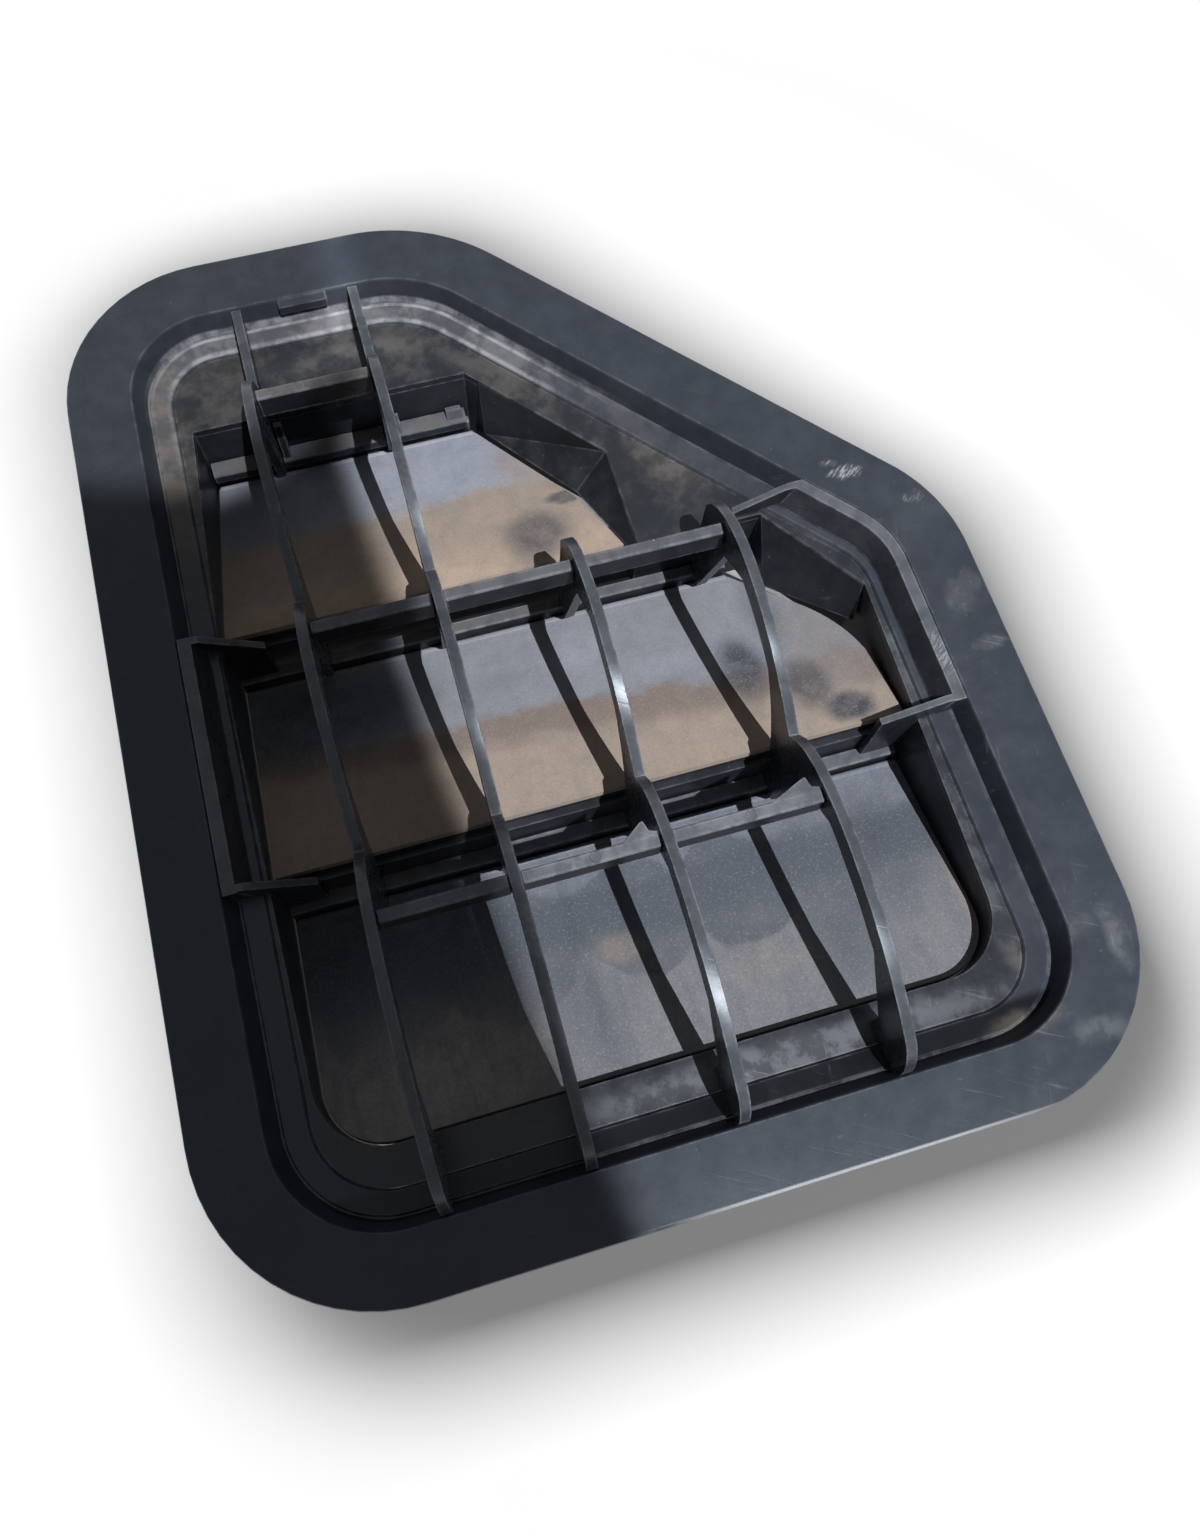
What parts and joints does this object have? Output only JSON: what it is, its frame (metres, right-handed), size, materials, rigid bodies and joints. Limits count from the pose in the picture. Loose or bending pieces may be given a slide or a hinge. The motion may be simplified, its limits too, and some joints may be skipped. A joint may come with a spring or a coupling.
{
  "type": "vehicle body air vent",
  "caption": "Flanged cabin-air vent for a vehicle body: a moulded frame with a scalloped rib guard and hinged rubber flaps that swing outwards to let air out.",
  "frame": {"origin": "middle of the flange's length and width, on the tub's back rim", "axes": "+Z out of the flange towards the guard, +Y up the ribs towards the narrow end, +X across the ribs"},
  "size_m": [0.1786, 0.22, 0.0494],
  "materials": {
    "frame_plastic": "satin",
    "flap_rubber": "dusty matte",
    "seal_foam": "matte foam"
  },
  "bodies": {
    "frame": {"crossbar_lower_1": "frame_plastic", "crossbar_lower_2": "frame_plastic", "crossbar_lower_3": "frame_plastic", "crossbar_middle_1": "frame_plastic", "crossbar_middle_2": "frame_plastic", "crossbar_middle_3": "frame_plastic", "crossbar_upper": "frame_plastic", "flange_seal": "seal_foam", "frame_flange": "frame_plastic", "guard_rib_1": "frame_plastic", "guard_rib_2": "frame_plastic", "guard_rib_3": "frame_plastic", "guard_rib_4": "frame_plastic", "hinge_bar_lower": "frame_plastic", "hinge_bar_middle": "frame_plastic", "hinge_bar_upper": "frame_plastic", "ledge_deck": "frame_plastic", "left_end_fence": "frame_plastic", "middle_bay_slope": "frame_plastic", "right_end_fence": "frame_plastic", "riser_middle": "frame_plastic", "riser_upper": "frame_plastic", "seat_lower": "frame_plastic", "seat_middle": "frame_plastic", "seat_upper": "frame_plastic", "snap_clip_1": "frame_plastic", "snap_clip_2": "frame_plastic", "snap_clip_3": "frame_plastic", "snap_clip_4": "frame_plastic", "snap_clip_5": "frame_plastic", "snap_clip_6": "frame_plastic", "tub_wall": "frame_plastic", "upper_bay_slope_diagonal": "frame_plastic", "upper_bay_slope_side": "frame_plastic"},
    "flap_lower": {"flap_lower": "flap_rubber"},
    "flap_middle": {"flap_middle": "flap_rubber"},
    "flap_upper": {"flap_upper": "flap_rubber"}
  },
  "joints": [
    {"name": "upper_flap_hinge", "type": "hinge", "parent": "frame", "child": "flap_upper", "pos_m": [0, 0.0687, 0.006], "axis": [-1, 0, 0], "range_deg": [0, 29]},
    {"name": "middle_flap_hinge", "type": "hinge", "parent": "frame", "child": "flap_middle", "pos_m": [0, 0.017, 0.006], "axis": [-1, 0, 0], "range_deg": [0, 27]},
    {"name": "lower_flap_hinge", "type": "hinge", "parent": "frame", "child": "flap_lower", "pos_m": [0, -0.035, 0.006], "axis": [-1, 0, 0], "range_deg": [0, 30]}
  ]
}
